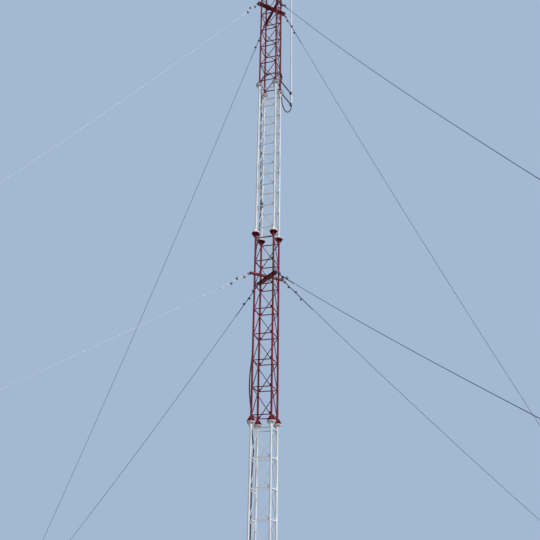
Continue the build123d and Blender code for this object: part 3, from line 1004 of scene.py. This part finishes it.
class MAST_OT_shackles(bpy.types.Operator):
    """Makes the bow shackles that hang the guys on the bracket pins"""

    bl_idname = "mast.shackles"
    bl_label = "Shackles"

    def execute(self, context):
        rod = SHACKLE_ROD / 2
        bend = SHACKLE_INNER / 2 + rod
        boss = [(0.015, 0), (0.017, 0.002), (0.017, 0.014), (0.015, 0.016)]
        nut, nut_height = 0.026, 0.011
        for level in ANCHOR_HOLES:
            shape = Shape()
            for corner in CORNERS:
                top, _, run_top, _, side, _ = guy_line(level, corner)
                place = axes(top, run_top, run_top.cross(side)) @ at(SHACKLE_SHIFT, 0, 0)
                path = [Vector((SHACKLE_PIN, 0, bend))]
                path += arc((0, 0, 0), bend, math.pi / 2, 1.5 * math.pi, 16, "xz")
                path += [Vector((SHACKLE_PIN, 0, -bend))]
                tube(shape, path, rod, 16, place)
                for z in (-1, 1):
                    spot = place @ standing((SHACKLE_PIN, 0, z * (bend - rod)), (0, 0, z))
                    turned(shape, boss, 24, spot)
                pin = place @ at(SHACKLE_PIN, 0, -0.036)
                turned(shape, [(rod, 0), (rod, 0.076)], 20, pin)
                hexagon(shape, nut, nut_height, pin @ lifted(0.067))
                back = standing((SHACKLE_PIN, 0, -0.031), (0, 0, -1))
                hexagon(shape, nut, nut_height, place @ back)
                split = [(SHACKLE_PIN - 0.014, 0, 0.045), (SHACKLE_PIN + 0.02, 0, 0.045)]
                tube(shape, split, SPLIT_PIN, 6, place)
            piece = finished(shape, f"{level}_bow_shackles", old_zinc())
            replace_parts(piece, f"{level}_guy_shackles")
        return {"FINISHED"}


TURNBUCKLE_EYE = [
    (0.017, -0.004), (0.019, -0.0055), (0.027, -0.0055), (0.029, -0.003),
    (0.029, 0.003), (0.027, 0.0055), (0.019, 0.0055), (0.017, 0.004),
]


def jaw_outline():
    """One cheek of a turnbuckle's jaw, rounded past its pin."""
    pin, radius = TURNBUCKLE_LENGTH, 0.0195
    outline = [(0.462, -0.018), (pin, -0.019)]
    for k in range(1, 10):
        turn = math.pi * k / 10
        outline.append((pin + radius * math.sin(turn), -radius * math.cos(turn)))
    return outline + [(pin, 0.019), (0.462, 0.018)]


def turnbuckle(shape, place):
    """A turnbuckle along x: eye and eye rod, open body, jaw rod, then a jaw with its pin."""

    def along(x, way=1):
        return place @ standing((x, 0, 0), (way, 0, 0))

    rod, rail, rail_offset = 0.01, 0.0085, 0.0235
    body_start, body_end = 0.165, 0.405
    cheek, cheek_offset = 0.012, 0.0145
    pin, pin_nose = 0.009, 0.013
    eye = place @ standing((0.0352, 0, 0), (0, 1, 0))
    turned(shape, TURNBUCKLE_EYE, 32, eye, True)
    tube(shape, [(0.061, 0, 0), (0.1, 0, 0)], rod, 16, place)
    stud(shape, rod, 0.09, along(0.085))
    stud(shape, rod, 0.1, along(0.375))
    collar = [(0.014, 0), (0.017, 0.002), (0.017, 0.022), (0.014, 0.026)]
    for x, way in ((body_start, 1), (body_end, -1)):
        turned(shape, collar, 20, along(x, way))
    for y in (-rail_offset, rail_offset):
        path = [(0.176, y * 0.55, 0), (0.184, y, 0), (0.386, y, 0), (0.394, y * 0.55, 0)]
        tube(shape, path, rail, 12, place)
    hexagon(shape, 0.03, 0.014, along(body_start - 0.001, -1))
    turned(shape, [(0.012, 0), (0.019, 0.006), (0.019, 0.02)], 20, along(0.455))
    for way in (-1, 1):
        slab(shape, jaw_outline(), cheek, place @ spun(90, "X") @ lifted(way * cheek_offset))
    block(shape, (0.46, -0.02, -0.018), (0.473, 0.02, 0.018), place)
    spot = place @ standing((TURNBUCKLE_LENGTH, -0.029, 0), (0, 1, 0))
    turned(shape, [(pin, 0), (pin, 0.058)], 20, spot)
    turned(shape, [(pin_nose, -0.004), (pin_nose, 0.004)], 20, spot)
    washer(shape, pin_nose, 0.003, spot @ lifted(0.05))
    split = [(TURNBUCKLE_LENGTH, 0.026, z) for z in (-0.014, 0.018)]
    tube(shape, split, SPLIT_PIN, 6, place)


class MAST_OT_turnbuckles(bpy.types.Operator):
    """Makes the turnbuckles that tighten the guys at the anchors"""

    bl_idname = "mast.turnbuckles"
    bl_label = "Turnbuckles"

    def execute(self, context):
        shape = Shape()
        for level, corner in each_guy():
            _, foot, _, run_foot, side, _ = guy_line(level, corner)
            start = foot - run_foot * TURNBUCKLE_LENGTH
            turnbuckle(shape, axes(start, run_foot, run_foot.cross(side)))
        piece = finished(shape, "turnbuckle_sets", zinc())
        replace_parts(piece, "turnbuckles")
        return {"FINISHED"}


class MAST_OT_ground(bpy.types.Operator):
    """Finishes the plinth, the anchor blocks and their plates, and adds the holding-down nuts"""

    bl_idname = "mast.ground"
    bl_label = "Plinth and anchors"

    def execute(self, context):
        stone = cast_concrete("cast_concrete", colours().concrete)
        for node in ("base_plinth", "anchor_blocks"):
            dress(node, stone, 0.006)
        for node in ("base_plate", "anchor_plates"):
            dress(node, zinc(), 0.0015)
        shape = Shape()
        for x in (-0.4, 0.0, 0.4):
            for y in (-0.4, 0.0, 0.4):
                if x or y:
                    place = at(x, y, FIRST_JOINT)
                    washer(shape, 0.03, 0.005, place)
                    hexagon(shape, 0.046, 0.024, place @ lifted(0.005))
                    stud(shape, 0.015, 0.03, place @ lifted(0.029))
        finished(shape, "holding_down_nuts", zinc())
        return {"FINISHED"}


def band_bolt(shape, centre, radius, run, reach):
    """A rod bent round a tube, with its two ends through a plate and a nut on each."""
    rod = 0.005
    place = axes(centre, run, (0, 0, 1))
    bend = radius + rod
    path = [Vector((-reach, bend, 0))]
    path += arc((0, 0, 0), bend, math.pi / 2, -math.pi / 2, 16)
    path += [Vector((-reach, -bend, 0))]
    tube(shape, path, rod, 10, place)
    for y in (-bend, bend):
        spot = place @ standing((-radius - 0.009, y, 0), (-1, 0, 0))
        washer(shape, rod * 2.1, 0.002, spot)
        hexagon(shape, rod * 3.4, rod * 1.7, spot @ lifted(0.002))


class MAST_OT_aerial(bpy.types.Operator):
    """Makes the whip aerial, finishes its two arms and adds their clamps and the cable bracket's"""

    bl_idname = "mast.aerial"
    bl_label = "Aerial"

    def execute(self, context):
        tones = colours()
        white = gelcoat_tube("gelcoat_tube", tones.gelcoat)
        grey_paint = weathered_enamel("dark_enamel", tones.dark, shade(tones.rust, 0.7))
        dress("aerial_arms", grey_paint, 0.0015)
        x, y = AERIAL
        r = AERIAL_RADIUS
        shoulder = AERIAL_LENGTH - 0.03
        profile = [(r, -0.01), (r, shoulder)]
        for turn in (0.3, 0.6, 0.9, 1.2, 1.45):
            profile.append((r * math.cos(turn), shoulder + 0.0295 * math.sin(turn)))
        shape = Shape()
        turned(shape, profile, 32, at(x, y, AERIAL_FOOT + AERIAL_FOOT_LENGTH))
        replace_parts(finished(shape, "aerial_whip", white), "aerial")
        f = AERIAL_FOOT_RADIUS
        length = AERIAL_FOOT_LENGTH
        profile = [(f - 0.003, 0), (f, 0.003), (f, length - 0.03), (f - 0.002, length - 0.02)]
        profile += [(r + 0.001, length - 0.001)]
        shape = Shape()
        turned(shape, profile, 40, at(x, y, AERIAL_FOOT))
        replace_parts(finished(shape, "aerial_ferrule", white), "aerial_foot")
        shape = Shape()
        leg_x, leg_y = CORNERS["back_right"]
        run = Vector((x - leg_x, y - leg_y, 0)).normalized()
        high = ARM_LOW + ARM_SPACING
        for height in (ARM_LOW, high):
            for lift in (-0.036, 0.036):
                band_bolt(shape, (x, y, height + lift), f, run, 0.075)
        for lift in (-0.036, 0.036):
            band_bolt(shape, (leg_x, leg_y, high + lift), LEG_RADIUS, -run, 0.066)
        for height in CABLE_BRACKET_BOLTS:
            band_bolt(shape, (leg_x, leg_y, height), LEG_RADIUS, (-1, 0, 0), 0.06)
        finished(shape, "aerial_clamps", zinc())
        return {"FINISHED"}


def feeder_across(height):
    """How far across the left face the feeder lies at a height."""
    for low, high in zip(FEEDER_ROUTE, FEEDER_ROUTE[1:]):
        if low[2] <= height <= high[2]:
            return low[1] + (high[1] - low[1]) * (height - low[2]) / (high[2] - low[2])


def along_curve(points):
    """The points of a smooth line through a route's control points."""
    curve = bpy.data.curves.new("route", "CURVE")
    curve.dimensions = "3D"
    spline = curve.splines.new("NURBS")
    spline.points.add(len(points) - 1)
    for point, place in zip(spline.points, points):
        point.co = (*place, 1.0)
    spline.order_u = 3
    spline.use_endpoint_u = True
    spline.resolution_u = 12
    carrier = bpy.data.objects.new("route", curve)
    bpy.context.scene.collection.objects.link(carrier)
    bpy.context.view_layer.update()
    mesh = bpy.data.meshes.new_from_object(carrier)
    line = [v.co.copy() for v in mesh.vertices]
    bpy.data.objects.remove(carrier)
    bpy.data.curves.remove(curve)
    bpy.data.meshes.remove(mesh)
    return line


def wrap_outline(extra):
    """The line of a tape round the back left leg and the feeder beside it."""
    outline = []
    for (x, y), radius, begin in (
        (CORNERS["back_left"], LEG_RADIUS, -75), ((-0.35, 0.3), FEEDER_RADIUS, 105)
    ):
        for degrees in range(begin, begin + 165, 15):
            spoke = circle_point(radius + extra, math.radians(degrees))
            outline.append((x + spoke.x, y + spoke.y))
    return outline


class MAST_OT_feeder(bpy.types.Operator):
    """Makes the feeder cable with its boots and tape, and finishes its clips and bands"""

    bl_idname = "mast.feeder"
    bl_label = "Feeder"

    def execute(self, context):
        sheath = polyethylene_sheath("polyethylene_sheath", colours().sheath)
        r = FEEDER_RADIUS
        shape = Shape()
        tube(shape, along_curve(FEEDER_ROUTE), r, 24)
        piece = finished(shape, "feeder_sheath", sheath, sharp=60)
        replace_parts(piece, "feeder_cable")
        dress("feeder_clips", old_zinc(), 0.0015)
        shape = Shape()
        ties = [((-0.355, feeder_across(z), z), (0, 0, 1)) for z in CLIP_HEIGHTS]
        ties += [((-0.2, 0.391, 19.395), (1, 0, 0.34)), ((0.14, 0.385, 19.359), (1, 0, -0.55))]
        inside, outside = r - 0.0005, r + 0.0018
        band = [(inside, -0.009), (outside, -0.009), (outside, 0.009), (inside, 0.009)]
        for centre, way in ties:
            turned(shape, band, 32, standing(centre, way), True)
        finished(shape, "feeder_bands", zinc())
        shape = Shape()
        for i in range(WRAP_TURNS):
            outline = wrap_outline(0.002 + 0.0006 * (i % 2))
            slab(shape, outline, WRAP_WIDTH, lifted(WRAP_FOOT + i * WRAP_WIDTH))
        finished(shape, "feeder_wrap", sheath, 0.001)
        shape = Shape()
        top = [(r, 0), (r + 0.003, 0.008), (r + 0.0035, 0.03), (r + 0.002, 0.0595)]
        turned(shape, top, 28, at(*AERIAL, AERIAL_FOOT - 0.06))
        foot = [(r - 0.002, 0), (r + 0.004, 0.003), (r + 0.004, 0.05), (r + 0.001, 0.075)]
        turned(shape, foot, 28, at(*FEEDER_ROUTE[0]))
        finished(shape, "feeder_boots", sheath)
        return {"FINISHED"}


def seen_directly(tree):
    """One for rays from the camera, a reflection or glass, and nought for the rays that light."""
    path = add_node(tree, "ShaderNodeLightPath")
    total = path.outputs["Is Camera Ray"]
    for kind in ("Is Glossy Ray", "Is Transmission Ray"):
        total = maths(tree, "MAXIMUM", total, path.outputs[kind])
    return total


LENS = 42.692
CAMERA_POINT = (5.5587, -17.6494, 2.8357)
CAMERA_LEVEL = (0.9554, 0.2953, 0)
CAMERA_PITCH = 0.42276
CAMERA_ROLL = -0.01497


def camera_place():
    """The camera's place and turn, as fitted to the flanges and the guys in the photo."""
    level = Vector(CAMERA_LEVEL).normalized()
    ahead = Vector((-level.y, level.x, 0)) * math.cos(CAMERA_PITCH)
    ahead = ahead + Vector((0, 0, math.sin(CAMERA_PITCH)))
    above = level.cross(ahead)
    right = level * math.cos(CAMERA_ROLL) - above * math.sin(CAMERA_ROLL)
    up = level * math.sin(CAMERA_ROLL) + above * math.cos(CAMERA_ROLL)
    place = Matrix((right, up, -ahead)).transposed().to_4x4()
    place.translation = Vector(CAMERA_POINT)
    return place


class MAST_OT_stage(bpy.types.Operator):
    """Sets the floor, the light and the camera"""

    bl_idname = "mast.stage"
    bl_label = "Stage"

    def execute(self, context):
        scene = context.scene
        scene.view_settings.view_transform = "Standard"
        tones = colours()
        reach = 900.0
        corners = [(-reach, -reach, 0), (reach, -reach, 0), (reach, reach, 0), (-reach, reach, 0)]
        mesh = bpy.data.meshes.new("floor")
        mesh.from_pydata(corners, [], [(0, 1, 2, 3)])
        floor = bpy.data.objects.new("floor", mesh)
        scene.collection.objects.link(floor)
        material = bpy.data.materials.new("floor")
        material.use_nodes = True
        tree = material.node_tree
        # Painted shade: the floor is pale to the camera, reflections and glass, but much darker to
        # the rays that light, so less light bounces up onto the mast's undersides
        tone = mixed(tree, seen_directly(tree), rgba(shade(tones.floor, 0.35)), rgba(tones.floor))
        shader = tree.nodes["Principled BSDF"]
        tree.links.new(tone, shader.inputs["Base Color"])
        shader.inputs["Roughness"].default_value = 0.9
        mesh.materials.append(material)
        world = bpy.data.worlds.new("studio")
        scene.world = world
        world.use_nodes = True
        tree = world.node_tree
        tree.nodes.clear()
        lit = add_node(
            tree, "ShaderNodeBackground", {"Color": (0.93, 0.96, 1.0, 1.0), "Strength": 0.3}
        )
        shown = add_node(
            tree, "ShaderNodeBackground", {"Color": rgba(tones.backdrop), "Strength": 1.0}
        )
        both = add_node(
            tree, "ShaderNodeMixShader", None,
            {0: seen_directly(tree), 1: lit.outputs[0], 2: shown.outputs[0]},
        )
        add_node(tree, "ShaderNodeOutputWorld", None, {"Surface": both.outputs[0]})
        for name, aim, energy, spread in (
            ("key", (-0.85, 0.2, -0.5), 2.85, 0.3),
            ("fill", (0.2, 0.9, -0.4), 0.35, 1.0),
        ):
            lamp = bpy.data.lights.new(name, "SUN")
            lamp.energy = energy
            lamp.angle = spread
            carrier = bpy.data.objects.new(name, lamp)
            carrier.rotation_mode = "QUATERNION"
            carrier.rotation_quaternion = Vector(aim).to_track_quat("-Z", "Y")
            scene.collection.objects.link(carrier)
        lens = bpy.data.cameras.new("camera")
        lens.sensor_width = 36.0
        lens.lens = LENS
        lens.clip_end = 3000.0
        camera = bpy.data.objects.new("camera", lens)
        scene.collection.objects.link(camera)
        camera.matrix_world = camera_place()
        scene.camera = camera
        return {"FINISHED"}


OPERATORS = (
    MAST_OT_stage,
    MAST_OT_legs,
    MAST_OT_bracing,
    MAST_OT_brackets,
    MAST_OT_ropes,
    MAST_OT_clips,
    MAST_OT_thimbles,
    MAST_OT_shackles,
    MAST_OT_turnbuckles,
    MAST_OT_ground,
    MAST_OT_aerial,
    MAST_OT_feeder,
)


class MAST_PT_panel(bpy.types.Panel):
    """Lists the sizes, the colours and the pieces of the mast"""

    bl_idname = "MAST_PT_panel"
    bl_label = "Radio mast"
    bl_space_type = "VIEW_3D"
    bl_region_type = "UI"
    bl_category = "Mast"

    def draw(self, context):
        for group in (context.scene.mast_sizes, context.scene.mast_colours):
            column = self.layout.column(align=True)
            for name in group.__annotations__:
                column.prop(group, name)
        column = self.layout.column()
        for operator in OPERATORS:
            column.operator(operator.bl_idname)


CLASSES = (MastSizes, MastColours) + OPERATORS + (MAST_PT_panel,)


def register():
    for item in CLASSES:
        bpy.utils.register_class(item)
    bpy.types.Scene.mast_sizes = PointerProperty(type=MastSizes)
    bpy.types.Scene.mast_colours = PointerProperty(type=MastColours)


def unregister():
    del bpy.types.Scene.mast_colours
    del bpy.types.Scene.mast_sizes
    for item in reversed(CLASSES):
        bpy.utils.unregister_class(item)


def main():
    register()
    for operator in OPERATORS:
        group, name = operator.bl_idname.split(".")
        result = getattr(getattr(bpy.ops, group), name)()
        if "FINISHED" not in result:
            raise RuntimeError(f"{operator.bl_label} wasn't finished")
    bpy.context.view_layer.update()


if __name__ == "__main__":
    main()
